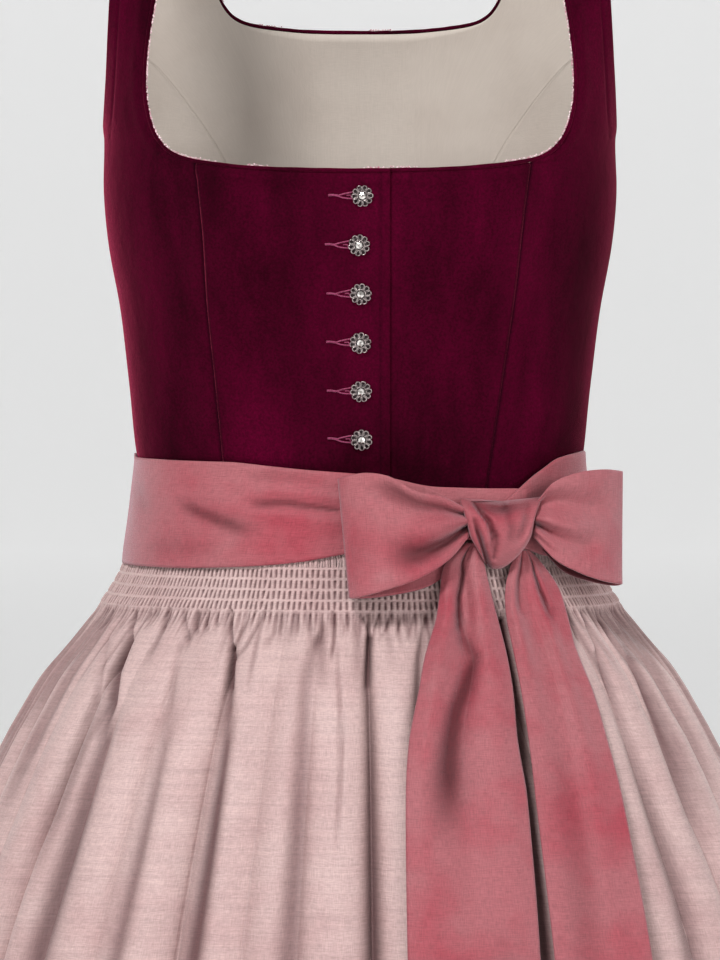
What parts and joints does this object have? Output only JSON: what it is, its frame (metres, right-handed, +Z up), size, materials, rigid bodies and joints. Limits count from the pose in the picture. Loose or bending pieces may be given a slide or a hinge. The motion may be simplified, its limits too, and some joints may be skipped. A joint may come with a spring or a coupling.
{
  "type": "dirndl",
  "caption": "Worn-shape dirndl: fitted velvet bodice with buttons and wide neckline, gathered skirt, smocked apron with wide ties in a bow.",
  "frame": {"origin": "midway between the two shoulder seams, where the wearer's shoulders hold the straps", "axes": "+Z up, the front faces -Y, +X to the wearer's left"},
  "size_m": [0.7185, 0.6334, 1.0625],
  "materials": {
    "velvet": "burgundy cotton velvet with a short pile",
    "lining": "grey-beige woven lining",
    "button_metal": "aged silver-coloured cast metal with a clear stone",
    "skirt_cloth": "burgundy plain-woven cloth, gathered",
    "apron_cloth": "pale dusty-pink cloth with fine level slubs, smocked at the top",
    "tie_cloth": "dusty-rose cloth of two-coloured weave with a soft sheen"
  },
  "bodies": {
    "root": {"front_right": "velvet", "front_left": "velvet", "side_front_right": "velvet", "side_front_left": "velvet", "side_back_right": "velvet", "side_back_left": "velvet", "back_centre": "velvet", "neck_binding_front_right": "velvet", "neck_binding_front_left": "velvet", "neck_binding_back": "velvet", "lining_back_centre": "lining", "lining_side_back_right": "lining", "lining_side_back_left": "lining", "button_1": "button_metal", "button_2": "button_metal", "button_3": "button_metal", "button_4": "button_metal", "button_5": "button_metal", "button_6": "button_metal", "skirt_front": "skirt_cloth", "skirt_back": "skirt_cloth", "apron": "apron_cloth", "apron_waistband": "tie_cloth", "tie_right": "tie_cloth", "tie_left": "tie_cloth", "bow_knot": "tie_cloth", "bow_loop_right": "tie_cloth", "bow_loop_left": "tie_cloth", "bow_tail_right": "tie_cloth", "bow_tail_left": "tie_cloth"}
  },
  "joints": []
}
